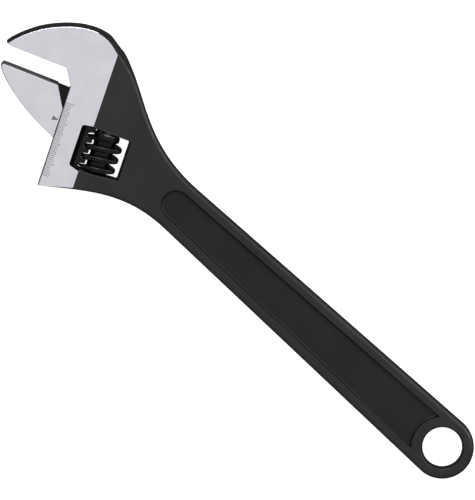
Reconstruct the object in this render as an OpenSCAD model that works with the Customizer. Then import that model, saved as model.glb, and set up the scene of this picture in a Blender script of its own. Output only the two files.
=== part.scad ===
// Adjustable wrench, 300 mm class: forged body, sliding jaw on a toothed rail,
// knurled worm on a screwed-in pin, and the small spring that steadies the worm.
// Frame: origin at the centre of the hanging hole on the mid-plane, +X along the
// handle to the head, +Z out of the marked face, +Y to the side the jaw opens to.
// Head features are drawn in the head's own frame: x along the jaws, y along the slide.

/* [Handle] */
// Radius of the rounded tail
tail_r = 15.1; // [14:0.1:16]
// Radius of the hanging hole
hang_r = 9.5; // [8:0.1:10.5]
// Chamfer at both mouths of the hanging hole
hang_chamfer = 0.6; // [0.2:0.1:1]
// Narrowing of each handle edge, per millimetre of length
edge_taper = 0.018; // [0.01:0.0005:0.022]
// Handle thickness over the rims
handle_t = 10; // [8.5:0.1:12]
// Depth of the long recess in each face
recess_depth = 1.8; // [0.5:0.1:2.4]
// Width of the rim beside the recess
rim_w = 4.75; // [3.5:0.05:5.5]
// Where the recess ends at the neck
recess_end_x = 179; // [150:1:182]

/* [Head] */
// Head thickness over the ground faces
head_t = 17; // [16:0.1:18]
// Angle between the handle and the line across the slide
head_deg = 23.8; // [23:0.1:24.5]
// Angle between the handle and both jaw faces
face_deg = 21; // [20:0.1:22]
// Distance from the slide edge to the line where the ground face ends
ground_w = 16.3; // [14:0.1:18]
// Distance from the slide edge to where the neck reaches handle thickness
slope_w = 55; // [50:1:60]

/* [Jaw slide] */
// Opening between the jaw faces as stored
rest_gap = 9.15; // [4:0.01:12]
// Radius of the round channel for the rail
channel_r = 5.45; // [5.3:0.01:5.6]
// Distance from the slide edge to the channel's axis
channel_in = 14.7; // [14.5:0.1:14.9]
// Clearance of the rail and its web, each side
slide_play = 0.3; // [0.25:0.01:0.4]
// Thickness of the web between the jaw and the rail
web_t = 5.6; // [4.5:0.1:6]
// Clearance between the jaw and the slide edge
jaw_play = 0.2; // [0.15:0.01:0.4]
// Reach of the lower end of the rail along the slide, as stored
rail_end = 36.2; // [35.8:0.1:36.5]

/* [Worm] */
// Thread pitch, which is also the pitch of the rack
pitch = 5.08; // [5.08:0.01:5.08]
// Distance from the slide edge to the worm's axis
worm_in = 24.1; // [24:0.05:24.3]
// Radius over the thread
worm_r = 8.9; // [8.7:0.05:9]
// Radius of the worm between its threads
worm_root_r = 5.3; // [5:0.05:5.5]
// Thread thickness at half depth
thread_w = 2.25; // [2:0.05:2.3]
// Radius of the pin the worm turns on
pin_r = 2.5; // [2:0.1:2.8]
// Running clearance between the pin and the worm
pin_play = 0.06; // [0.04:0.01:0.09]
// Wire radius of the spring
wire_r = 0.35; // [0.25:0.01:0.4]

/* [Hidden] */
$fn = 72;
over = 40;
corner = [247, -8.5];

// Lines of the two jaw faces in the head's frame: y at a given x
face_slope = tan(face_deg - head_deg);
function face_y(x) = -8.65 + face_slope * (x - 20.2);
function jaw_y(x) = face_y(x) + rest_gap;

// Points of a cubic curve, the last one left out
function curve(a, b, c, d, n) = [
    for (i = [0:n - 1])
        let (t = i / n, s = 1 - t)
            s * s * s * a + 3 * s * s * t * b + 3 * s * t * t * c + t * t * t * d
];
function arc(r, from, to, n) = [
    for (i = [0:n])
        let (w = from + (to - from) * i / n)
            r * [cos(w), sin(w)]
];
// A point of the head's frame in the row's frame
function head_point(x, y) = corner + [
    x * cos(head_deg) - y * sin(head_deg),
    x * sin(head_deg) + y * cos(head_deg)
];

// Outline of the forging, anticlockwise from the tail
face_dir = [cos(face_deg), sin(face_deg)];
tip = head_point(34.2, face_y(34.2));
edge_start = 168;
function edge_y(x) = tail_r - edge_taper * x;
outline = concat(
    arc(tail_r, 91, 269, 40),
    curve([edge_start, -edge_y(edge_start)], [185, -edge_y(185)], [197.3, -15.2], [212, -23.3], 14),
    curve([212, -23.3], [222, -29], [237, -38.8], [247.5, -38.8], 12),
    curve([247.5, -38.8], [258.5, -38.8], [268.8, -29.6], [275, -21.8], 14),
    curve([275, -21.8], [278.1, -17.9], [282.2, -10.4], [283.6, -4.6], 8),
    curve([283.6, -4.6], [283.95, -3.2], tip + 1.4 * face_dir, tip, 6),
    [tip, head_point(4.84, face_y(4.84)), corner, [226.9, 36.9], [213, 27.6]],
    curve([213, 27.6], [199, 17.9], [187.5, edge_y(187.5)], [edge_start, edge_y(edge_start)], 14),
    [[edge_start, edge_y(edge_start)]]
);

// Half thickness of the forging against the distance from the slide edge
function half_t(d) =
    handle_t / 2
    + (head_t - handle_t) / 2 * pow(max(0, (slope_w - d) / (slope_w - ground_w)), 2);
slope_steps = 10;
slope_in = [
    for (i = [0:slope_steps])
        ground_w + (slope_w - ground_w) * i / slope_steps
];
thickness = concat(
    [[over, head_t / 2]],
    [for (d = slope_in) [-d, half_t(d)]],
    [[-250, handle_t / 2], [-250, -handle_t / 2]],
    [for (i = [slope_steps:-1:0]) [-slope_in[i], -half_t(slope_in[i])]],
    [[over, -head_t / 2]]
);

// Outline of the recess in the handle's faces
recess_r = edge_y(recess_end_x) - rim_w;
recess_x = recess_end_x - recess_r;
recess = concat(
    [[6, edge_y(6) - rim_w], [6, rim_w - edge_y(6)]],
    [for (p = arc(recess_r, -90, 90, 24)) [recess_x + p[0], p[1]]]
);

// Window for the worm, in the head's frame
window = [
    [-11, 15.3], [-16.5, 14.5], [-35.3, 15.4],
    [-35.3, 36.9], [-16.5, 37], [-11, 35.5]
];

// Thread: the crest's centre at the rail is mesh_y, plus whole pitches
mesh_y = 24.89;
flank = tan(8);
mid_r = (worm_r + worm_root_r) / 2;
crest_w = thread_w - 2 * flank * (worm_r - mid_r);
base_w = thread_w + 2 * flank * (mid_r - worm_root_r);
worm_low = 15.9;
worm_high = 36.7;
sides = 24;
step_deg = 360 / sides;
first_step = -54;
thread_steps = 121;
// The thread runs past both ends, which are then turned to length and chamfered
blank_low = 11.5;
blank_high = 41.5;
end_r = 7.7;
function thread_at(i, r, shift) =
    let (w = (first_step + i) * step_deg)
        [r * cos(w), r * sin(w), mesh_y + pitch * w / 360 + shift];
function crest_r(i) =
    worm_root_r + (worm_r - worm_root_r) * min(1, i / 4, (thread_steps - i) / 4);
function ring_at(i, y) = [
    worm_root_r * cos((first_step + i) * step_deg),
    worm_root_r * sin((first_step + i) * step_deg),
    y
];
last_turn = thread_steps - sides;
// The thread grows out of one point and runs out into another
worm_points = concat(
    [thread_at(0, worm_root_r, 0)],
    [for (i = [1:thread_steps - 1]) each [
        thread_at(i, worm_root_r, -base_w / 2),
        thread_at(i, crest_r(i), -crest_w / 2),
        thread_at(i, crest_r(i), crest_w / 2),
        thread_at(i, worm_root_r, base_w / 2)
    ]],
    [thread_at(thread_steps, worm_root_r, 0)],
    [for (i = [0:sides - 1]) ring_at(i, blank_low)],
    [for (i = [0:sides - 1]) ring_at(last_turn + i, blank_high)]
);
run_out = 4 * thread_steps - 3;
low_ring = run_out + 1;
high_ring = low_ring + sides;
// Index of a thread point: k is 0 and 3 at the root, 1 and 2 at the crest
function at(i, k) = i == 0 ? 0 : i == thread_steps ? run_out : 4 * i - 3 + k;
worm_faces = concat(
    // Flanks, in triangles because they twist, and the flat crest between them
    [for (i = [1:thread_steps - 2]) each [
        [at(i, 0), at(i, 1), at(i + 1, 1)],
        [at(i, 0), at(i + 1, 1), at(i + 1, 0)],
        [at(i, 1), at(i, 2), at(i + 1, 2), at(i + 1, 1)],
        [at(i, 2), at(i, 3), at(i + 1, 3)],
        [at(i, 2), at(i + 1, 3), at(i + 1, 2)]
    ]],
    [for (k = [0:2]) [0, at(1, k + 1), at(1, k)]],
    [for (k = [0:2]) [at(thread_steps - 1, k), at(thread_steps - 1, k + 1), run_out]],
    // Root between one turn and the next
    [for (i = [0:last_turn - 1])
        [at(i, 3), at(i + sides, 0), at(i + sides + 1, 0), at(i + 1, 3)]],
    // From the lower ring to the first turn, with the thread's first point on the seam
    [for (i = [0:sides - 2]) [low_ring + i, at(i, 0), at(i + 1, 0), low_ring + i + 1]],
    [for (edge = [[at(sides - 1, 0), at(sides, 0)], [at(sides, 0), 0], [0, low_ring]])
        [low_ring + sides - 1, edge[0], edge[1]]],
    // From the last turn to the upper ring, with the thread's last point on the seam
    [for (edge = [[at(last_turn + 1, 3), at(last_turn, 3)], [at(last_turn, 3), run_out], [run_out, high_ring]])
        [high_ring + 1, edge[0], edge[1]]],
    [for (i = [1:sides - 1]) [
        at(last_turn + i, 3), high_ring + i, high_ring + (i + 1) % sides, at(last_turn + i + 1, 3)
    ]],
    // Ends
    [[for (i = [0:sides - 1]) low_ring + i]],
    [[for (i = [sides - 1:-1:0]) high_ring + i]]
);

// Spring: a coil round the pin, in the worm's end
coil_r = 3.3;
coil_low = 15.75;
coil_high = 18.85;
coil_turns = 4;
coil_sides = 16;
wire_sides = 8;
coil_steps = coil_turns * coil_sides;
coil_points = [
    for (i = [0:coil_steps]) for (k = [0:wire_sides - 1])
        let (w = 360 * i / coil_sides, v = 360 * k / wire_sides, r = coil_r + wire_r * cos(v))
            [
                r * cos(w),
                r * sin(w),
                coil_low + (coil_high - coil_low) * i / coil_steps + wire_r * sin(v)
            ]
];
coil_faces = concat(
    [for (i = [0:coil_steps - 1]) for (k = [0:wire_sides - 1])
        let (p = i * wire_sides, q = p + wire_sides, n = (k + 1) % wire_sides) each [
            [p + k, p + n, q + n], [p + k, q + n, q + k]
        ]],
    [[for (k = [wire_sides - 1:-1:0]) k]],
    [[for (k = [0:wire_sides - 1]) coil_steps * wire_sides + k]]
);

// Puts children drawn in the head's frame where the head is
module on_head() {
    translate([corner[0], corner[1], 0])
        rotate([0, 0, head_deg])
            children();
}

// Turns children drawn along Z so that they run along the slide
module along_slide(x) {
    on_head()
        translate([x, 0, 0])
            rotate([-90, 0, 0])
                children();
}

module recess_cut() {
    difference() {
        linear_extrude(height = handle_t) polygon(recess);
        translate([0, 0, -1])
            cylinder(r = 14.8, h = handle_t + 2);
    }
}

module body() {
    slot_t = web_t + 2 * slide_play;
    color([0.16, 0.16, 0.17])
    difference() {
        intersection() {
            translate([0, 0, -head_t / 2])
                linear_extrude(height = head_t) polygon(outline);
            along_slide(0)
                translate([0, 0, -80])
                    linear_extrude(height = 240) polygon(thickness);
        }
        // Hanging hole
        translate([0, 0, -over / 2])
            cylinder(r = hang_r, h = over);
        for (side = [0, 180])
            rotate([side, 0, 0])
                translate([0, 0, handle_t / 2 - hang_chamfer])
                    cylinder(r1 = hang_r, r2 = hang_r + 2, h = 2);
        // Recesses in both faces
        translate([0, 0, handle_t / 2 - recess_depth]) recess_cut();
        rotate([180, 0, 0])
            translate([0, 0, handle_t / 2 - recess_depth]) recess_cut();
        // Channel for the rail, and the slot that lets its web out
        along_slide(-channel_in)
            translate([0, 0, -60])
                cylinder(r = channel_r, h = 140);
        on_head()
            translate([0, 0, -slot_t / 2])
                linear_extrude(height = slot_t)
                    polygon([
                        [-channel_in, face_y(-channel_in) - 0.4],
                        [4, face_y(4) - 0.4],
                        [5.4, face_y(5.4) + 0.3],
                        [5.4, 70],
                        [-channel_in, 70]
                    ]);
        // Window for the worm
        on_head()
            translate([0, 0, -over / 2])
                linear_extrude(height = over) polygon(window);
        // Holes for the pin
        along_slide(-worm_in)
            translate([0, 0, 11])
                cylinder(r = pin_r + 0.03, h = 8);
        along_slide(-worm_in)
            translate([0, 0, 34])
                cylinder(r = pin_r + 0.5, h = 20);
    }
}

module movable_jaw() {
    rail_r = channel_r - slide_play;
    outer = curve([34.5, 1.9], [30.5, 9.4], [13.4, 20.8], [jaw_play, 26], 16);
    tooth_tilt = atan(pitch / (2 * PI * 7.3));
    rack_root = channel_in + 0.2;
    rack_crest = channel_in + 3.3;
    depth = rack_crest - rack_root;
    gap_root = 2.2;
    color([0.62, 0.63, 0.65])
    difference() {
        on_head()
        union() {
            // Jaw
            translate([0, 0, -head_t / 2 + 0.1])
                linear_extrude(height = head_t - 0.2)
                    polygon(concat(
                        [[jaw_play, 11.4], [6, jaw_y(6)], [33.3, jaw_y(33.3)]],
                        curve([33.3, jaw_y(33.3)], [34.7, jaw_y(34.7)], [35, 1.1], [34.5, 1.9], 5),
                        outer,
                        [[jaw_play, 26]]
                    ));
            // Web that carries it
            translate([0, 0, -web_t / 2])
                linear_extrude(height = web_t)
                    polygon([
                        [-channel_in, jaw_y(-channel_in)],
                        [10, jaw_y(10)],
                        [10, 18],
                        [jaw_play, 24],
                        [-9, 29],
                        [-channel_in, 29]
                    ]);
            // Rail
            translate([-channel_in, jaw_y(-channel_in), 0])
                rotate([-90, 0, 0])
                    cylinder(r = rail_r, h = rail_end - jaw_y(-channel_in));
        }
        // Flat side of the rail, where the rack is cut
        on_head()
            translate([-rack_crest - 10, -5, -10])
                cube([10, 60, 20]);
        // Gaps of the rack, along the lead of the worm
        for (k = [-4:2])
            on_head()
                translate([-rack_root, mesh_y + k * pitch, 0])
                    rotate([tooth_tilt, 0, 0])
                        translate([0, 0, -10])
                            linear_extrude(height = 20)
                                polygon([
                                    [0, -gap_root / 2],
                                    [0, gap_root / 2],
                                    [-depth - 1, gap_root / 2 + flank * (depth + 1)],
                                    [-depth - 1, -gap_root / 2 - flank * (depth + 1)]
                                ]);
    }
}

module worm() {
    color([0.12, 0.12, 0.13])
    along_slide(-worm_in)
        difference() {
            intersection() {
                polyhedron(points = worm_points, faces = worm_faces);
                rotate_extrude($fn = sides)
                    polygon([
                        [0, worm_low], [end_r, worm_low], [end_r + 2, worm_low + 2],
                        [end_r + 2, worm_high - 2], [end_r, worm_high], [0, worm_high]
                    ]);
            }
            translate([0, 0, worm_low - 1])
                cylinder(r = pin_r + pin_play, h = worm_high - worm_low + 2);
            translate([0, 0, worm_low - 1])
                cylinder(r = coil_r + wire_r + 0.35, h = coil_high + wire_r + 0.15 - worm_low + 1);
        }
}

module worm_pin() {
    color([0.3, 0.3, 0.31])
    along_slide(-worm_in)
        difference() {
            union() {
                translate([0, 0, 11.3])
                    cylinder(r = pin_r, h = 27);
                translate([0, 0, 37.5])
                    cylinder(r = pin_r + 0.5, h = 5.1);
            }
            // Driver slot
            translate([-4, -0.45, 41.4])
                cube([8, 0.9, 3]);
        }
}

module worm_spring() {
    color([0.55, 0.55, 0.57])
    along_slide(-worm_in)
        polyhedron(points = coil_points, faces = coil_faces);
}

body();
movable_jaw();
worm();
worm_pin();
worm_spring();
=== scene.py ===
"""Adjustable wrench: the visible model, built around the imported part.

Lengths in the shaping code are millimetres in the part's own frame, and to_piece brings them
to metres. The head has a frame of its own: x runs along the jaws, y along the jaw's slide.
"""

import math

import bmesh
import bpy
from mathutils import Matrix, Vector


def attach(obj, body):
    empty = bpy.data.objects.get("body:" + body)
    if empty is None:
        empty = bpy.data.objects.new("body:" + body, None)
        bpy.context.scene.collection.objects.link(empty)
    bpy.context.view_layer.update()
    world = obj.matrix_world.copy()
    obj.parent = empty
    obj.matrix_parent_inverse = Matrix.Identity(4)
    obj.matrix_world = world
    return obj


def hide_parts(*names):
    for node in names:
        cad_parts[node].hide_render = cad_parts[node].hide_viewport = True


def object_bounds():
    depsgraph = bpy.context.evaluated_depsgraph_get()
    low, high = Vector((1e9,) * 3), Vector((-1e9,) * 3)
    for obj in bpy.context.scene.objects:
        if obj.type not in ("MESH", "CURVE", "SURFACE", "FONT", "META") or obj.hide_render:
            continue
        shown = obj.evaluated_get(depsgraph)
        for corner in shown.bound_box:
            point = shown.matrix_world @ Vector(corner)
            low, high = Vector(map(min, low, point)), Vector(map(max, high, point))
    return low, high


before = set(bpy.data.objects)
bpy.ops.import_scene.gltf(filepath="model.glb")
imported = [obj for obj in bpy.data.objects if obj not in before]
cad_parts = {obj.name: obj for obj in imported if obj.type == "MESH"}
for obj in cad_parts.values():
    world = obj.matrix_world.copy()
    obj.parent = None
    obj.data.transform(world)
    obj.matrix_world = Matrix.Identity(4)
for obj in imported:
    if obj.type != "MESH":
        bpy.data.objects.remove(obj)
cad_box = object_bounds()

# ---------------------------------------------------------------- sizes, in millimetres

TAIL_R = 15.1
HANG_R = 9.5
EDGE_TAPER = 0.018
HANDLE_T = 10.0
RECESS_DEPTH = 1.8
RIM_W = 4.75
RECESS_END_X = 179.0
RECESS_TAIL_R = 14.8

HEAD_T = 17.0
HEAD_DEG = 23.8
FACE_DEG = 21.0
GROUND_W = 16.3
SLOPE_W = 55.0
CORNER = Vector((247, -8.5, 0))
LOW_CORNER = Vector((226.9, 36.9, 0))
CORNER_R = 0.25
MACHINED_R = 0.22
HANDLE_R = 1.9

REST_GAP = 9.15
CHANNEL_R = 5.45
CHANNEL_IN = 14.7
SLIDE_PLAY = 0.3
WEB_T = 5.6
JAW_PLAY = 0.2
JAW_T = HEAD_T - 0.2
RAIL_END = 36.2
RACK_ROOT = CHANNEL_IN + 0.48
RACK_CREST = CHANNEL_IN + 3.3
RACK_GAP = 1.1

PITCH = 5.08
MESH_Y = 24.89
WORM_IN = 24.1
WORM_R = 8.9
WORM_ROOT_R = 5.3
WORM_LOW = 16.45
WORM_HIGH = 35.1
COLLAR_R = 6.3
COLLAR_CHAMFER = 0.7
PIN_R = 2.5
PIN_HEAD_R = PIN_R + 0.5
THREAD_W = 2.45
THREAD_REST = 0.14
FLANK = math.tan(math.radians(8))
KNURL_LINES = 96
KNURL_DEPTH = 0.36

MARKS = 37
FIRST_MARK = 8
MARK_W = 0.24
MARK_DEPTH = 0.2

HEAD = Matrix.Translation(CORNER) @ Matrix.Rotation(math.radians(HEAD_DEG), 4, "Z")
FACE_SLOPE = math.tan(math.radians(FACE_DEG - HEAD_DEG))


def along_slide(x):
    """A frame whose Z axis runs along the slide, x away from the slide edge."""
    return HEAD @ Matrix.Translation((x, 0, 0)) @ Matrix.Rotation(math.radians(-90), 4, "X")


def head_point(x, y, z=0.0):
    return HEAD @ Vector((x, y, z))


def head_x(point):
    """How far a point lies from the slide edge, negative inside the head."""
    return in_head(point).x


def in_head(point):
    """A point's place in the head's frame."""
    return HEAD.inverted() @ Vector((point[0], point[1], 0))


def fixed_face_y(x):
    return -8.65 + FACE_SLOPE * (x - 20.2)


def moving_face_y(x):
    return fixed_face_y(x) + REST_GAP


def edge_y(x):
    """Half width of the handle."""
    return TAIL_R - EDGE_TAPER * x


def ease(t):
    t = min(max(t, 0.0), 1.0)
    return t * t * (3 - 2 * t)


def curve(a, b, c, d, count):
    """Points of a cubic curve, the last one left out."""
    a, b, c, d = (Vector((*p[:2], 0)) for p in (a, b, c, d))
    points = []
    for i in range(count):
        t = i / count
        s = 1 - t
        points.append(s**3 * a + 3 * s * s * t * b + 3 * s * t * t * c + t**3 * d)
    return points


def arc(radius, start, end, count, centre=(0, 0)):
    points = []
    for i in range(count + 1):
        w = math.radians(start + (end - start) * i / count)
        points.append(Vector((centre[0] + radius * math.cos(w), centre[1] + radius * math.sin(w), 0)))
    return points


def inward(points, i):
    """Unit normal of a closed outline at one of its points, towards the inside."""
    before = (points[i] - points[i - 1]).normalized()
    after = (points[(i + 1) % len(points)] - points[i]).normalized()
    along = (before + after).normalized()
    return Vector((-along.y, along.x, 0))


def rounded_wall(reach, half, corner_r):
    """Height share and inset of a wall at reach, 0 at mid thickness and 1 on the face."""
    straight = 1 - corner_r / half
    if reach <= 0.6:
        return reach / 0.6 * straight, 0.0
    angle = math.radians(90 * (reach - 0.6) / 0.4)
    return straight + (1 - straight) * math.sin(angle), corner_r * (1 - math.cos(angle))


def both_ways(levels):
    """Levels above mid thickness and the same below it, from the lowest up."""
    return [-level for level in reversed(levels)] + levels


# ---------------------------------------------------------------- mesh tools


def stacked(count, place, levels):
    """A closed skin through loops of count points, one at each level, by extruding the last loop."""
    bm = bmesh.new()
    order = bm.verts.layers.int.new("order")
    loop = []
    for i in range(count):
        v = bm.verts.new(place(i, levels[0]))
        v[order] = i
        loop.append(v)
    edges = [bm.edges.new((loop[i - 1], loop[i])) for i in range(count)]
    bmesh.ops.edgeloop_fill(bm, edges=edges)
    for level in levels[1:]:
        grown = bmesh.ops.extrude_edge_only(bm, edges=edges)["geom"]
        fresh = {g for g in grown if isinstance(g, bmesh.types.BMVert)}
        edges = [g for g in grown if isinstance(g, bmesh.types.BMEdge) and set(g.verts) <= fresh]
        for v in fresh:
            v.co = place(v[order], level)
    bmesh.ops.edgeloop_fill(bm, edges=edges)
    bmesh.ops.recalc_face_normals(bm, faces=bm.faces[:])
    return bm


def prism(points, low, high):
    """A straight solid on an outline given in the head's frame."""
    return stacked(len(points), lambda i, z: head_point(points[i][0], points[i][1], z), [low, high])


def turned(profile, matrix, steps=96):
    """A solid of revolution: profile holds (radius, height) pairs, closed through the axis."""
    bm = bmesh.new()
    verts = [bm.verts.new((r, 0, z)) for r, z in profile]
    edges = [bm.edges.new((a, b)) for a, b in zip(verts, verts[1:])]
    if profile[0][0] > 0:
        edges.append(bm.edges.new((verts[-1], verts[0])))
    bmesh.ops.spin(
        bm, geom=verts + edges, cent=(0, 0, 0), axis=(0, 0, 1), angle=math.tau, steps=steps, use_merge=True
    )
    bmesh.ops.remove_doubles(bm, verts=bm.verts[:], dist=1e-4)
    bmesh.ops.recalc_face_normals(bm, faces=bm.faces[:])
    bm.transform(matrix)
    return bm


def to_piece(bm, name):
    """Makes the finished mesh an object, in metres."""
    mesh = bpy.data.meshes.new(name)
    bm.transform(Matrix.Scale(0.001, 4))
    bm.to_mesh(mesh)
    bm.free()
    piece = bpy.data.objects.new(name, mesh)
    bpy.context.scene.collection.objects.link(piece)
    return piece


def apply_modifiers(piece):
    graph = bpy.context.evaluated_depsgraph_get()
    shaped = bpy.data.meshes.new_from_object(piece.evaluated_get(graph))
    piece.modifiers.clear()
    old = piece.data
    piece.data = shaped
    bpy.data.meshes.remove(old)


def cut(piece, tool_bm, operation="DIFFERENCE"):
    """Takes a tool's shape out of a piece, or adds it with operation UNION."""
    tool = to_piece(tool_bm, "tool")
    step = piece.modifiers.new("machining", "BOOLEAN")
    step.operation = operation
    step.solver = "EXACT"
    step.object = tool
    apply_modifiers(piece)
    mesh = tool.data
    bpy.data.objects.remove(tool)
    bpy.data.meshes.remove(mesh)


def soften(piece, width_mm, wanted, material=-1, angle=32):
    """Breaks the sharp edges that wanted picks by their middle point, in millimetres."""
    bm = bmesh.new()
    bm.from_mesh(piece.data)
    bmesh.ops.remove_doubles(bm, verts=bm.verts[:], dist=2e-6)
    sharp = [
        e
        for e in bm.edges
        if len(e.link_faces) == 2
        and e.calc_face_angle(0.0) > math.radians(angle)
        and wanted((e.verts[0].co + e.verts[1].co) * 500)
    ]
    bmesh.ops.bevel(
        bm,
        geom=sharp,
        offset=width_mm * 0.001,
        offset_type="OFFSET",
        segments=2,
        profile=0.5,
        affect="EDGES",
        clamp_overlap=False,
        material=material,
    )
    bm.to_mesh(piece.data)
    bm.free()


def shade(piece, sharp_deg=30):
    """Smooth shading, with the remaining corners kept sharp and big faces kept flat."""
    bm = bmesh.new()
    bm.from_mesh(piece.data)
    for face in bm.faces:
        face.smooth = True
    for edge in bm.edges:
        edge.smooth = len(edge.link_faces) != 2 or edge.calc_face_angle(0.0) < math.radians(sharp_deg)
    bm.to_mesh(piece.data)
    bm.free()
    step = piece.modifiers.new("flat_faces", "WEIGHTED_NORMAL")
    step.keep_sharp = True
    step.weight = 80
    apply_modifiers(piece)


def paint(piece, finishes, choose):
    """Gives each face one of the finishes; choose returns it from the face's centre and normal."""
    piece.data.materials.clear()
    for finish in finishes:
        piece.data.materials.append(finish)
    for face in piece.data.polygons:
        face.material_index = finishes.index(choose(face.center * 1000, face.normal))


def rounded(points, radius, count=4):
    """A closed outline with every corner rounded."""
    out = []
    for i, corner in enumerate(points):
        around = (corner, points[i - 1], points[(i + 1) % len(points)])
        here, before, after = (Vector((*p[:2], 0)) for p in around)
        a = here + (before - here).normalized() * radius
        b = here + (after - here).normalized() * radius
        for k in range(count + 1):
            t = k / count
            out.append((1 - t) ** 2 * a + 2 * t * (1 - t) * here + t * t * b)
    return out


# ---------------------------------------------------------------- finishes


def new_finish(name, **sockets):
    """A material with its fixed values on the shader's own sockets."""
    finish = bpy.data.materials.new(name)
    finish.use_nodes = True
    shader = finish.node_tree.nodes["Principled BSDF"]
    for label, value in sockets.items():
        shader.inputs[label.replace("_", " ")].default_value = value
    return finish, shader


def grain(finish, scale, detail=3.0, roughness=0.55, stretch=(1, 1, 1), turn=0.0):
    """A noise pattern fixed to the piece; scale counts features per metre, stretch draws them out."""
    nodes, links = finish.node_tree.nodes, finish.node_tree.links
    place = nodes.new("ShaderNodeTexCoord")
    mapping = nodes.new("ShaderNodeMapping")
    mapping.inputs["Rotation"].default_value = (0, 0, turn)
    mapping.inputs["Scale"].default_value = stretch
    noise = nodes.new("ShaderNodeTexNoise")
    noise.inputs["Scale"].default_value = scale
    noise.inputs["Detail"].default_value = detail
    noise.inputs["Roughness"].default_value = roughness
    links.new(place.outputs["Object"], mapping.inputs["Vector"])
    links.new(mapping.outputs["Vector"], noise.inputs["Vector"])
    return noise.outputs["Fac"]


def ramp(finish, value, stops):
    """Turns a pattern into colours; stops holds (position, colour) pairs."""
    node = finish.node_tree.nodes.new("ShaderNodeValToRGB")
    elements = node.color_ramp.elements
    while len(elements) < len(stops):
        elements.new(0.5)
    for element, (position, colour) in zip(elements, stops):
        element.position = position
        element.color = (*colour, 1)
    finish.node_tree.links.new(value, node.inputs["Fac"])
    return node.outputs["Color"]


def spread(finish, value, low, high, start=0.3, end=0.7):
    """Maps a pattern onto a range of values."""
    node = finish.node_tree.nodes.new("ShaderNodeMapRange")
    for label, number in zip(("From Min", "From Max", "To Min", "To Max"), (start, end, low, high)):
        node.inputs[label].default_value = number
    finish.node_tree.links.new(value, node.inputs["Value"])
    return node.outputs["Result"]


def mixed(finish, share, first, second):
    """Blends two colours by a pattern."""
    node = finish.node_tree.nodes.new("ShaderNodeMix")
    node.data_type = "RGBA"
    links = finish.node_tree.links
    links.new(share, node.inputs[0])
    links.new(first, node.inputs[6])
    links.new(second, node.inputs[7])
    return node.outputs[2]


def bumps(finish, shader, layers):
    """Stacks height patterns on the surface; layers holds (pattern, depth in metres) pairs."""
    nodes, links = finish.node_tree.nodes, finish.node_tree.links
    below = None
    for value, depth in layers:
        node = nodes.new("ShaderNodeBump")
        node.inputs["Strength"].default_value = 1.0
        node.inputs["Distance"].default_value = depth
        links.new(value, node.inputs["Height"])
        if below is not None:
            links.new(below, node.inputs["Normal"])
        below = node.outputs["Normal"]
    links.new(below, shader.inputs["Normal"])


def blackened_steel(name, dark, light, low, high, pits, shine):
    """Black oxide over steel: its two greys, the range of its roughness, its pits and its shine."""
    finish, shader = new_finish(name, Specular_IOR_Level=shine)
    links = finish.node_tree.links
    cloud = grain(finish, 38, 4)
    speck = grain(finish, 1500, 2)
    deep = (dark, dark, dark * 1.06)
    plain = (light, light, light * 1.05)
    worn = (light * 1.8, light * 1.8, light * 1.9)
    colour = mixed(
        finish,
        spread(finish, speck, 0.0, 0.5, 0.45, 0.75),
        ramp(finish, cloud, [(0.3, deep), (0.72, plain)]),
        ramp(finish, cloud, [(0.3, plain), (0.72, worn)]),
    )
    links.new(colour, shader.inputs["Base Color"])
    links.new(spread(finish, grain(finish, 160, 5, 0.62), low, high), shader.inputs["Roughness"])
    bumps(finish, shader, [(grain(finish, 110, 3), 0.00006), (speck, pits)])
    return finish


def ground_steel():
    """Bright face with the fine straight lines of the grinding wheel and a faint mottle."""
    finish, shader = new_finish("ground_steel", Metallic=1.0)
    links = finish.node_tree.links
    lines = grain(finish, 240, 4, 0.6, (1, 14, 1), math.radians(-HEAD_DEG))
    mottle = grain(finish, 95, 5, 0.6)
    colour = mixed(
        finish,
        spread(finish, lines, 0.0, 1.0, 0.3, 0.7),
        ramp(finish, mottle, [(0.3, (0.535, 0.541, 0.578)), (0.7, (0.585, 0.591, 0.626))]),
        ramp(finish, mottle, [(0.3, (0.565, 0.571, 0.608)), (0.7, (0.612, 0.618, 0.654))]),
    )
    links.new(colour, shader.inputs["Base Color"])
    links.new(spread(finish, lines, 0.3, 0.42), shader.inputs["Roughness"])
    bumps(finish, shader, [(mottle, 0.00002), (lines, 0.000012)])
    return finish


def machined_steel(name, colour, low, high):
    """Cut faces that were never polished: darker, with tool lines along the slide."""
    finish, shader = new_finish(name, Metallic=1.0)
    links = finish.node_tree.links
    lines = grain(finish, 420, 3, 0.55, (9, 1, 1), math.radians(-HEAD_DEG))
    cloud = grain(finish, 70, 4)
    pale = tuple(min(1.0, c * 1.35) for c in colour)
    links.new(ramp(finish, cloud, [(0.3, colour), (0.72, pale)]), shader.inputs["Base Color"])
    links.new(spread(finish, lines, low, high), shader.inputs["Roughness"])
    bumps(finish, shader, [(lines, 0.00003)])
    return finish


def rubbed_edge():
    """Blackened corner where handling has begun to bare the steel."""
    finish, shader = new_finish("rubbed_edge", Specular_IOR_Level=0.5)
    links = finish.node_tree.links
    patches = grain(finish, 210, 5, 0.65)
    coats = [(0.42, (0.007, 0.007, 0.0075)), (0.6, (0.03, 0.03, 0.032)), (0.78, (0.16, 0.16, 0.165))]
    links.new(ramp(finish, patches, coats), shader.inputs["Base Color"])
    links.new(spread(finish, patches, 0.0, 0.85, 0.5, 0.72), shader.inputs["Metallic"])
    links.new(spread(finish, patches, 0.42, 0.3), shader.inputs["Roughness"])
    bumps(finish, shader, [(grain(finish, 900, 2), 0.00002)])
    return finish


def etched_mark():
    """Dark filled bottom of an engraved mark."""
    finish, shader = new_finish("etched_mark", Roughness=0.7, Specular_IOR_Level=0.25)
    links = finish.node_tree.links
    fill = grain(finish, 900, 3)
    greys = [(0.3, (0.06, 0.062, 0.068)), (0.7, (0.13, 0.133, 0.142))]
    links.new(ramp(finish, fill, greys), shader.inputs["Base Color"])
    bumps(finish, shader, [(fill, 0.00002)])
    return finish


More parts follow.
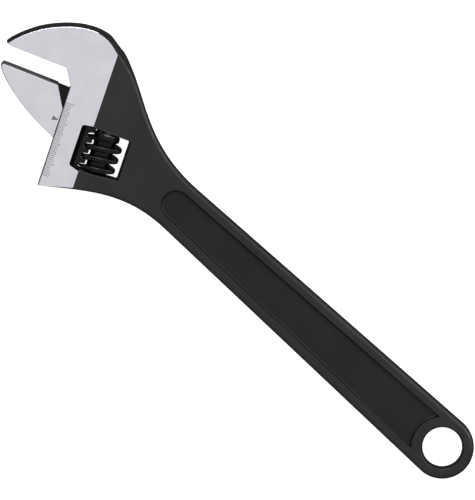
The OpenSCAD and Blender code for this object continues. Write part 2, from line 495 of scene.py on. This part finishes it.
BLACKENED = blackened_steel("blackened_steel", 0.0034, 0.0068, 0.36, 0.5, 0.00003, 0.27)
# A darker copy of the blackened steel for the recess floor: painted shade for the hollow.
RECESS_SHADE = blackened_steel("recess_painted_shade", 0.0022, 0.0046, 0.4, 0.54, 0.00004, 0.2)
# Near-black for the worm, the rail and the window's inner walls: painted shade for the shadowed window,
# darker than the blackened steel.
PAINTED_SHADE_BLACK = blackened_steel("painted_shade_black", 0.0012, 0.0028, 0.22, 0.34, 0.000015, 0.16)
RUBBED = rubbed_edge()
GROUND = ground_steel()
MACHINED = machined_steel("machined_steel", (0.4, 0.4, 0.415), 0.3, 0.46)
PIN_STEEL = machined_steel("turned_steel", (0.22, 0.22, 0.23), 0.24, 0.36)
SPRING_STEEL = machined_steel("spring_steel", (0.4, 0.4, 0.42), 0.2, 0.3)
ETCHED = etched_mark()

# ---------------------------------------------------------------- the body

FACE_DIR = Vector((math.cos(math.radians(FACE_DEG)), math.sin(math.radians(FACE_DEG)), 0))
TIP = head_point(34.2, fixed_face_y(34.2))
SLOPE_AT = [GROUND_W + (SLOPE_W - GROUND_W) * i / 10 for i in range(11)]


def half_at(depth):
    """Half thickness of the forging, depth back from the slide edge."""

    def on_curve(d):
        return HANDLE_T / 2 + (HEAD_T - HANDLE_T) / 2 * max(0.0, (SLOPE_W - d) / (SLOPE_W - GROUND_W)) ** 2

    if depth <= GROUND_W:
        return HEAD_T / 2
    for near, far in zip(SLOPE_AT, SLOPE_AT[1:]):
        if depth <= far:
            share = (depth - near) / (far - near)
            return on_curve(near) * (1 - share) + on_curve(far) * share
    return HANDLE_T / 2


def forging_outline():
    """The outline, anticlockwise from the tail, and which of its points have a machined wall."""
    forged = (
        arc(TAIL_R, 91, 269, 56)
        + curve((40, -edge_y(40)), (80, -edge_y(80)), (120, -edge_y(120)), (168, -edge_y(168)), 6)
        + curve((168, -edge_y(168)), (185, -edge_y(185)), (197.3, -15.2), (212, -23.3), 16)
        + curve((212, -23.3), (222, -29), (237, -38.8), (247.5, -38.8), 18)
        + curve((247.5, -38.8), (258.5, -38.8), (268.8, -29.6), (275, -21.8), 18)
        + curve((275, -21.8), (278.1, -17.9), (282.2, -10.4), (283.6, -4.6), 10)
        + curve((283.6, -4.6), (283.95, -3.2), TIP + 1.4 * FACE_DIR, TIP, 7)
    )
    machined = [TIP, head_point(4.84, fixed_face_y(4.84)), Vector(CORNER), LOW_CORNER]
    neck = curve((213, 27.6), (199, 17.9), (187.5, edge_y(187.5)), (168, edge_y(168)), 18) + curve(
        (168, edge_y(168)), (120, edge_y(120)), (80, edge_y(80)), (40, edge_y(40)), 6
    )
    return forged + machined + neck, [False] * len(forged) + [True] * 4 + [False] * len(neck)


def forging():
    """Body blank: drafted walls, edges rounder on the handle, both faces dished to the neck."""
    points, machined = forging_outline()
    walls = []
    for i, point in enumerate(points):
        depth = -head_x(point)
        back = ease((depth - 14) / 30)
        boss = math.exp(-((point.x - 240.5) ** 2 + (point.y + 37.5) ** 2) / 110)
        draft = 0.0 if machined[i] else 1.1 * (1 - back) + 0.35 * back + 1.6 * boss
        corner_r = MACHINED_R if machined[i] else CORNER_R * (1 - back) + HANDLE_R * back
        walls.append((inward(points, i), draft, corner_r))
    # The low corner has an inset of its own, nearly square to the slide edge
    walls[points.index(LOW_CORNER)] = (Vector((-0.83, -0.56, 0)), 0.35, MACHINED_R)

    def place(i, level):
        normal, draft, corner_r = walls[i]
        height, round_in = rounded_wall(abs(level), half_at(-head_x(points[i])), corner_r)
        at = points[i] + normal * (draft * height**2.6 + round_in)
        return (at.x, at.y, math.copysign(height, level))

    levels = [0.12, 0.3, 0.45, 0.6, 0.68, 0.76, 0.84, 0.92, 1.0]
    bm = stacked(len(points), place, both_ways(levels))
    for depth in SLOPE_AT:
        bmesh.ops.bisect_plane(
            bm,
            geom=bm.verts[:] + bm.edges[:] + bm.faces[:],
            dist=1e-4,
            plane_co=head_point(-depth, 0),
            plane_no=HEAD.to_3x3() @ Vector((1, 0, 0)),
        )
    for v in bm.verts:
        v.co.z *= half_at(-head_x(v.co))
    bmesh.ops.recalc_face_normals(bm, faces=bm.faces[:])
    return bm


def recess_tool(side):
    """Cutter for the long recess: steep walls that run out into the floor in a fillet."""
    start_half, end_r = (edge_y(x) - RIM_W for x in (10.7, RECESS_END_X))
    end_x = RECESS_END_X - end_r
    turn = math.degrees(math.asin(start_half / RECESS_TAIL_R))

    def on_side(share, way):
        return Vector((11 + (end_x - 11) * share, way * (start_half + (end_r - start_half) * share), 0))

    outline = (
        [on_side(share, -1) for share in (0, 0.3, 0.6)]
        + arc(end_r, -90, 90, 28, (end_x, 0))
        + [on_side(share, 1) for share in (0.6, 0.3, 0)]
        + arc(RECESS_TAIL_R, turn, -turn, 24)[1:-1]
    )
    # Pairs of inset and depth, from above the face down to the floor
    profile = [(-0.6, -1.0), (0.0, 0.0), (0.14, 0.45), (0.3, 1.0), (0.52, 1.45), (0.85, 1.7)]
    profile.append((1.25, RECESS_DEPTH))

    def place(i, level):
        offset, depth = profile[level]
        at = outline[i] + inward(outline, i) * offset
        return (at.x, at.y, side * (HANDLE_T / 2 - depth))

    return stacked(len(outline), place, list(range(len(profile))))


def hole_tool():
    """Cutter for the hanging hole, with a rounded mouth at each face."""
    half, lip, flare = HANDLE_T / 2, 0.9, 0.45
    mouth = [(HANG_R - 0.1, 0), (HANG_R, 1.6)] + [
        (HANG_R + flare + lip * (1 - math.cos(w)), half - lip + lip * math.sin(w))
        for w in (0, 0.4, 0.8, 1.2, math.pi / 2)
    ]
    far = HANG_R + flare + lip
    profile = [(0, -half - 2), (far, -half - 2)] + [(r, -z) for r, z in reversed(mouth[1:])] + mouth
    return turned(profile + [(far, half + 2), (0, half + 2)], Matrix.Identity(4))


def rod(radius, low, high, x, steps=64):
    """A round bar along the slide."""
    return turned([(0, low), (radius, low), (radius, high), (0, high)], along_slide(x), steps)


def box_tool(x0, x1, y0, y1, z0, z1):
    return prism([(x0, y0), (x1, y0), (x1, y1), (x0, y1)], z0, z1)


def gathered(parts):
    """Several separate shapes in one mesh."""
    whole = bmesh.new()
    for part in parts:
        mesh = bpy.data.meshes.new("part")
        part.to_mesh(mesh)
        part.free()
        whole.from_mesh(mesh)
        bpy.data.meshes.remove(mesh)
    return whole


def window_tool():
    """Cutter for the worm's window: its walls open out from a waist to both faces."""
    corners = [(-11.3, 15.5), (-16.5, 14.7), (-35, 15.5), (-35, 36.9), (-16.5, 37), (-11.3, 35.5)]
    outline = rounded(corners, 0.9)

    def place(i, z):
        x, y = outline[i].x, outline[i].y
        opened = (min(abs(z), HEAD_T / 2) / (HEAD_T / 2)) ** 2
        near_end, far_wall = y < 20, x < -33.5
        if far_wall:
            x -= 2.1 * opened - 0.3
        if near_end:
            waist = 1.0 if x < -20 else 1.4
        else:
            waist = -1.7 if x < -33.5 else -1.35
        return head_point(x, y + waist * (1 - opened), z)

    return stacked(len(outline), place, [-12, -8, -5.5, -3, 0, 3, 5.5, 8, 12])


def in_window(at):
    """The window's rims on both faces."""
    local = in_head(at)
    return abs(at.z) > 5.8 and -37.2 < local.x < -10.5 and 13.8 < local.y < 37.8


def in_recess(at, margin):
    """Whether a point of the handle lies within the recess, widened by margin."""
    return abs(at.y) < edge_y(at.x) - RIM_W + margin


def scale_marks():
    """Cutters for the millimetre marks, longer at each fifth and longest at each tenth."""
    bottom, marks = HEAD_T / 2 - MARK_DEPTH, []
    for k in range(MARKS):
        length = 4.5 if k % 10 == 0 else 3.9 if k % 5 == 0 else 3.3
        low, high = FIRST_MARK + k - MARK_W / 2, FIRST_MARK + k + MARK_W / 2
        marks.append(box_tool(-length, 0.7, low, high, bottom, HEAD_T / 2 + 1))
    return gathered(marks)


def body_finish(centre, normal):
    x = head_x(centre)
    local = in_head(centre)
    high = abs(centre.z)
    in_marks = -4.7 < x < 0.5 and 7.5 < local.y < 44.5
    if HEAD_T / 2 - 0.32 < centre.z < HEAD_T / 2 - 0.02 and in_marks:
        return ETCHED
    if x < -GROUND_W - 0.3 and in_window(centre) and 0.2 < abs(normal.z) < 0.96:
        return RUBBED
    if high > HEAD_T / 2 - 0.25 and x > -GROUND_W + 0.01:
        to_the_edge = x > -0.5 or x > -4 and local.y < 0
        return GROUND if abs(normal.z) > 0.995 or to_the_edge else BLACKENED
    if x > -0.3 and local.y > fixed_face_y(local.x) - 0.3:
        return MACHINED
    # The window's inner walls get the near-black: painted shade.
    window_wall = -38 < x < -10.5 and 13.9 < local.y < 38 and abs(normal.z) < 0.6
    if window_wall and high < half_at(-x) - 0.05:
        return PAINTED_SHADE_BLACK
    # The recess floor gets the darker copy: painted shade.
    if in_recess(centre, -0.3) and high < HANDLE_T / 2 - 0.3 and 9.6 < centre.x < RECESS_END_X:
        return RECESS_SHADE
    return BLACKENED


def make_body():
    body = to_piece(forging(), "wrench_body")
    cut(body, hole_tool())
    cut(body, recess_tool(1))
    cut(body, recess_tool(-1))
    cut(body, rod(CHANNEL_R, -60, 80, -CHANNEL_IN))
    slot_half = WEB_T / 2 + SLIDE_PLAY
    slot = [(-CHANNEL_IN, fixed_face_y(-CHANNEL_IN) - 0.4), (4, fixed_face_y(4) - 0.4)]
    slot += [(5.4, fixed_face_y(5.4) + 0.3), (5.4, 70), (-CHANNEL_IN, 70)]
    cut(body, prism(slot, -slot_half, slot_half))
    cut(body, window_tool())
    cut(body, rod(PIN_R + 0.03, 11, 19, -WORM_IN, 40))
    cut(body, rod(PIN_HEAD_R, 34, 54, -WORM_IN, 40))
    soften(body, 0.3, in_window)
    soften(body, 0.35, lambda at: at.x < RECESS_END_X + 1 and in_recess(at, 1.2))
    cut(body, scale_marks())
    paint(body, [BLACKENED, RECESS_SHADE, GROUND, ETCHED, MACHINED, RUBBED, PAINTED_SHADE_BLACK], body_finish)
    shade(body)
    return body


# ---------------------------------------------------------------- the moving jaw


def rack_gaps():
    """Cutters for the gaps of the rack, leaning with the thread, with a fillet at each tooth's foot."""
    lean = math.atan(PITCH / (2 * math.pi * 7.3))
    deep = RACK_CREST - RACK_ROOT + 1
    wide = RACK_GAP + FLANK * deep
    fillet = [(-1.1, -1.2), (-0.55, -0.98), (-0.2, -0.78), (0, -0.6)]
    shape = fillet + [(0, RACK_GAP), (-deep, wide), (-deep, -wide)]

    def gap(middle):
        centre = HEAD @ Matrix.Translation((-RACK_ROOT, middle, 0)) @ Matrix.Rotation(lean, 4, "X")
        return stacked(len(shape), lambda i, z: centre @ Vector((*shape[i], z)), [-10, 10])

    return gathered([gap(MESH_Y + k * PITCH) for k in range(-4, 3)])


def jaw_finish(centre, normal):
    local = in_head(centre)
    face_z = JAW_T / 2
    on_pointer = 0.3 < local.x < 3.7 and 15.4 < local.y < 18.2
    if on_pointer and face_z - 0.3 < centre.z < face_z - 0.01:
        return ETCHED
    if abs(centre.z) > face_z - 0.25:
        return GROUND if abs(normal.z) > 0.995 else MACHINED
    # The jaw's side against the slide, its web and its rail get the near-black: painted shade.
    if local.x < JAW_PLAY or abs(centre.z) < WEB_T / 2 + 0.1 and local.x < 6.2:
        return PAINTED_SHADE_BLACK
    return MACHINED


def make_jaw():
    half = JAW_T / 2
    face = moving_face_y
    outline = (
        [Vector((JAW_PLAY, 11.4, 0)), Vector((6, face(6), 0)), Vector((33.3, face(33.3), 0))]
        + curve((33.3, face(33.3)), (34.7, face(34.7)), (35, 1.1), (34.5, 1.9), 6)[1:]
        + curve((34.5, 1.9), (30.5, 9.4), (13.4, 20.8), (JAW_PLAY, 26), 24)
        + [Vector((JAW_PLAY, 26, 0))]
    )

    def place(i, level):
        draft = 0.55 if 3 < i < len(outline) - 1 else 0.0
        height, round_in = rounded_wall(abs(level), half, CORNER_R)
        at = outline[i] + inward(outline, i) * (draft * height**1.7 + round_in)
        return head_point(at.x, at.y, math.copysign(height * half, level))

    levels = [0.2, 0.45, 0.6, 0.74, 0.87, 1.0]
    jaw = to_piece(stacked(len(outline), place, both_ways(levels)), "sliding_jaw")
    web = [(-CHANNEL_IN, face(-CHANNEL_IN)), (10, face(10)), (10, 18)]
    web += [(JAW_PLAY, 24), (-9, 29), (-CHANNEL_IN, 29)]
    cut(jaw, prism(web, -WEB_T / 2, WEB_T / 2), "UNION")
    cut(jaw, rod(CHANNEL_R - SLIDE_PLAY, face(-CHANNEL_IN), RAIL_END, -CHANNEL_IN), "UNION")
    cut(jaw, box_tool(-RACK_CREST - 10, -RACK_CREST, -5, 55, -10, 10))
    cut(jaw, rack_gaps())
    cut(jaw, prism([(0.4, 16.9), (3.5, 15.6), (3.55, 18.0)], half - 0.16, half + 1))
    paint(jaw, [PAINTED_SHADE_BLACK, GROUND, ETCHED, MACHINED], jaw_finish)
    shade(jaw)
    return jaw


# ---------------------------------------------------------------- the worm, its pin and its spring


def screw(profile, turns, steps, rise):
    """A section drawn at (radius, height) and carried round the axis as it climbs."""
    bm = bmesh.new()
    verts = [bm.verts.new((r, 0, z)) for r, z in profile]
    edges = [bm.edges.new((verts[i - 1], verts[i])) for i in range(len(verts))]
    bmesh.ops.edgeloop_fill(bm, edges=edges)
    bmesh.ops.spin(
        bm,
        geom=verts + edges,
        cent=(0, 0, 0),
        axis=(0, 0, 1),
        dvec=(0, 0, rise * turns / steps),
        angle=math.tau * turns,
        steps=steps,
        use_merge=False,
    )
    open_edges = [e for e in bm.edges if len(e.link_faces) == 1]
    bmesh.ops.edgeloop_fill(bm, edges=open_edges)
    bmesh.ops.recalc_face_normals(bm, faces=bm.faces[:])
    return bm


def make_worm():
    mid_r = (WORM_R + WORM_ROOT_R) / 2
    crest = THREAD_W / 2 - FLANK * (WORM_R - mid_r)
    base = THREAD_W / 2 + FLANK * (mid_r - WORM_ROOT_R)
    inner = WORM_ROOT_R - 0.3
    profile = [
        (inner, -base - 0.35),
        (WORM_ROOT_R + 0.1, -base - 0.2),
        (WORM_ROOT_R + 0.6, -base + 0.06),
        (WORM_R - 0.45, -crest - 0.06),
        (WORM_R - 0.12, -crest + 0.14),
        (WORM_R, -crest + 0.42),
        (WORM_R, crest - 0.42),
        (WORM_R - 0.12, crest - 0.14),
        (WORM_R - 0.45, crest + 0.06),
        (WORM_ROOT_R + 0.6, base - 0.06),
        (WORM_ROOT_R + 0.1, base + 0.2),
        (inner, base + 0.35),
    ]
    ridge = math.tau / KNURL_LINES
    first, count = -216, 484
    thread = screw(profile, count / KNURL_LINES, count, PITCH)
    begin = MESH_Y + THREAD_REST + PITCH * first / KNURL_LINES
    thread.transform(Matrix.Translation((0, 0, begin)) @ Matrix.Rotation(first * ridge, 4, "Z"))
    # The knurl: every other line across the crest is pressed in
    for v in thread.verts:
        radius = math.hypot(v.co.x, v.co.y)
        if radius > WORM_R - 0.3 and round(math.atan2(v.co.y, v.co.x) / ridge) % 2:
            pressed = 1 - KNURL_DEPTH / radius
            v.co.x, v.co.y = v.co.x * pressed, v.co.y * pressed

    bore, pocket, depth = PIN_R + 0.06, 4.0, 19.35
    end_r = 8.5
    hub = turned(
        [
            (bore, depth), (pocket, depth), (pocket, WORM_LOW + 0.2), (pocket + 0.2, WORM_LOW),
            (COLLAR_R - COLLAR_CHAMFER, WORM_LOW), (COLLAR_R, WORM_LOW + COLLAR_CHAMFER),
            (COLLAR_R, WORM_LOW + 2.8), (WORM_ROOT_R, WORM_LOW + 3.4),
            (WORM_ROOT_R, WORM_HIGH), (bore + 0.3, WORM_HIGH), (bore, WORM_HIGH - 0.3),
        ],
        Matrix.Identity(4),
        72,
    )  # fmt: skip
    # The thread runs past both ends: one end is turned to a collar, the other is chamfered
    blank = turned(
        [
            (0, WORM_LOW + 0.8), (COLLAR_R - 0.2, WORM_LOW + 0.8), (COLLAR_R - 0.2, WORM_LOW + 2.5),
            (end_r + 2, WORM_LOW + 3.6), (end_r + 2, WORM_HIGH - 1.5), (end_r, WORM_HIGH), (0, WORM_HIGH),
        ],
        along_slide(-WORM_IN),
        96,
    )  # fmt: skip
    hub.transform(Matrix.Scale(0.001, 4) @ along_slide(-WORM_IN))
    thread.transform(along_slide(-WORM_IN))
    worm = to_piece(thread, "knurled_worm")
    cut(worm, blank, "INTERSECT")
    hub.from_mesh(worm.data)
    hub.to_mesh(worm.data)
    hub.free()

    def bright_chamfer(centre, normal):
        local = in_head(centre)
        radius = math.hypot(local.x + WORM_IN, centre.z)
        on_chamfer = COLLAR_R - COLLAR_CHAMFER + 0.01 < radius < COLLAR_R - 0.01
        return MACHINED if on_chamfer and local.y < WORM_LOW + COLLAR_CHAMFER - 0.01 else PAINTED_SHADE_BLACK

    # The worm gets the near-black: painted shade.
    paint(worm, [PAINTED_SHADE_BLACK, MACHINED], bright_chamfer)
    shade(worm, 40)
    return worm


def make_pin():
    profile = [
        (0, 11.3), (PIN_R - 0.4, 11.3), (PIN_R, 11.7), (PIN_R, 37.5), (PIN_HEAD_R, 37.5),
        (PIN_HEAD_R, 42.2), (PIN_HEAD_R - 0.4, 42.6), (0, 42.6),
    ]  # fmt: skip
    pin = to_piece(turned(profile, along_slide(-WORM_IN), 56), "worm_screw_pin")
    slot = box_tool(-4, 4, 41.4, 44.4, -0.45, 0.45)
    slot.transform(HEAD @ Matrix.Translation((-WORM_IN, 0, 0)) @ HEAD.inverted())
    cut(pin, slot)
    paint(pin, [PIN_STEEL], lambda centre, normal: PIN_STEEL)
    shade(pin)
    return pin


def make_spring():
    coil_r, wire_r, turns, length, begin = 3.3, 0.35, 4, 2.5, 16.42
    angles = [math.tau * k / 10 for k in range(10)]
    section = [(coil_r + wire_r * math.cos(w), wire_r * math.sin(w)) for w in angles]
    coil = screw(section, turns, 32 * turns, length / turns)
    coil.transform(along_slide(-WORM_IN) @ Matrix.Translation((0, 0, begin)))
    spring = to_piece(coil, "worm_coil_spring")
    paint(spring, [SPRING_STEEL], lambda centre, normal: SPRING_STEEL)
    shade(spring, 50)
    return spring


for make, node, body_name, slot_name in (
    (make_body, "body", "frame", "blackened_steel"),
    (make_jaw, "movable_jaw", "jaw", "ground_steel"),
    (make_worm, "worm", "worm", "worm_steel"),
    (make_pin, "worm_pin", "frame", "pin_steel"),
    (make_spring, "worm_spring", "frame", "spring_steel"),
):
    piece = make()
    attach(piece, body_name)
    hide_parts(node)

# ---------------------------------------------------------------- studio

scene = bpy.context.scene
scene.view_settings.view_transform = "Standard"

floor_bm = bmesh.new()
bmesh.ops.create_grid(floor_bm, x_segments=1, y_segments=1, size=15000)
floor_bm.transform(Matrix.Translation((0, 0, cad_box[0][2] * 1000 - 0.1)))
floor = to_piece(floor_bm, "studio_floor")
floor_finish = new_finish(
    "white_floor",
    Base_Color=(0.3, 0.3, 0.3, 1),
    Roughness=0.9,
    Emission_Color=(1, 1, 1, 1),
    Emission_Strength=0.97,
)[0]
floor.data.materials.append(floor_finish)
floor.visible_glossy = False

world = bpy.data.worlds.new("studio")
world.use_nodes = True
scene.world = world
nodes, links = world.node_tree.nodes, world.node_tree.links
direction = nodes.new("ShaderNodeTexCoord")
parts = nodes.new("ShaderNodeSeparateXYZ")
height = nodes.new("ShaderNodeMapRange")
height.inputs["From Min"].default_value = -1
sky = nodes.new("ShaderNodeValToRGB")
for element, (position, shade_of_grey) in zip(
    (sky.color_ramp.elements[0], sky.color_ramp.elements[1]), ((0.0, 0.05), (0.84, 1.0))
):
    element.position = position
    element.color = (shade_of_grey, shade_of_grey, shade_of_grey, 1)
for position, shade_of_grey in ((0.16, 0.1), (0.5, 0.42)):
    element = sky.color_ramp.elements.new(position)
    element.color = (shade_of_grey, shade_of_grey, shade_of_grey, 1)
links.new(direction.outputs["Generated"], parts.inputs["Vector"])
links.new(parts.outputs["Z"], height.inputs["Value"])
links.new(height.outputs["Result"], sky.inputs["Fac"])
links.new(sky.outputs["Color"], nodes["Background"].inputs["Color"])
nodes["Background"].inputs["Strength"].default_value = 1.0

# The camera looks almost straight down on the marked face
IMAGE_RIGHT = Vector((-0.7373, -0.6757, 0))
UP_PLANE = Vector((0.6757, -0.7373, 0))
TILT = math.radians(6.7)
CAMERA_LENS = 909.5
CAMERA_DISTANCE = 6.0
back = Vector((0, 0, math.cos(TILT))) + UP_PLANE * math.sin(TILT)
up = UP_PLANE * math.cos(TILT) - Vector((0, 0, math.sin(TILT)))
target = Vector((0.13544, -0.00361, 0))


def softbox(name, direction_vector, distance, size, power):
    light = bpy.data.lights.new(name, "AREA")
    light.shape = "RECTANGLE"
    light.size, light.size_y = size
    light.energy = power
    lamp = bpy.data.objects.new(name, light)
    lamp.location = target + direction_vector.normalized() * distance
    lamp.rotation_euler = (-direction_vector).to_track_quat("-Z", "Y").to_euler()
    scene.collection.objects.link(lamp)


softbox("upper_softbox", UP_PLANE * 0.9 + Vector((0, 0, 0.6)), 1.2, (0.9, 0.35), 14)
softbox("side_softbox", IMAGE_RIGHT * 0.9 + UP_PLANE * 0.3 + Vector((0, 0, 0.5)), 1.2, (0.3, 0.9), 8)

camera = bpy.data.objects.new("camera", bpy.data.cameras.new("camera"))
camera.data.lens = CAMERA_LENS
camera.data.sensor_width = 36
camera.data.clip_start, camera.data.clip_end = 0.5, 60
facing = Matrix((IMAGE_RIGHT, up, back)).transposed().to_4x4()
camera.matrix_world = Matrix.Translation(target + back * CAMERA_DISTANCE) @ facing
scene.collection.objects.link(camera)
scene.camera = camera
